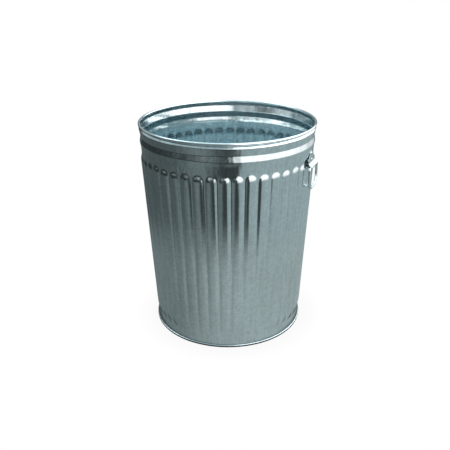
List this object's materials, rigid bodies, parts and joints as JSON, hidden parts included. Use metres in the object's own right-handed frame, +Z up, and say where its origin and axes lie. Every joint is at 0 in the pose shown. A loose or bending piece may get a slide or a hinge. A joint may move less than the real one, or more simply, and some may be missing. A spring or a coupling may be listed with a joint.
{
  "type": "galvanised refuse can",
  "caption": "Open, tapered, rib-walled galvanised steel can with a rolled wire rim, a raised bottom and drop handles on opposite sides.",
  "frame": {"origin": "on the floor, under the centre of the can", "axes": "+Z up along the can's axis; the two drop handles are on +X and -X, and the side seam runs down -X"},
  "size_m": [0.5454, 0.5296, 0.6477],
  "materials": {
    "galvanised_wall": "galvanised, fine spangle, satin",
    "galvanised_bottom": "galvanised, fine spangle, satin",
    "rim_wire": "drawn steel wire",
    "galvanised_clip": "galvanised, bright",
    "rivet": "zinc plated",
    "galvanised_bail": "galvanised wire, bright"
  },
  "bodies": {
    "can": {"body_shell": "galvanised_wall", "rim_wire": "rim_wire", "bottom_pan": "galvanised_bottom", "right_handle_clip": "galvanised_clip", "left_handle_clip": "galvanised_clip", "right_clip_rivets": "rivet", "left_clip_rivets": "rivet"},
    "right_bail": {"right_bail_handle": "galvanised_bail"},
    "left_bail": {"left_bail_handle": "galvanised_bail"}
  },
  "joints": [
    {"name": "right_bail_hinge", "type": "hinge", "parent": "can", "child": "right_bail", "pos_m": [0.2674, 0, 0.5347], "axis": [0, -1, 0], "range_deg": [-4, 180]},
    {"name": "left_bail_hinge", "type": "hinge", "parent": "can", "child": "left_bail", "pos_m": [-0.2674, 0, 0.5347], "axis": [0, 1, 0], "range_deg": [-4, 180]}
  ]
}
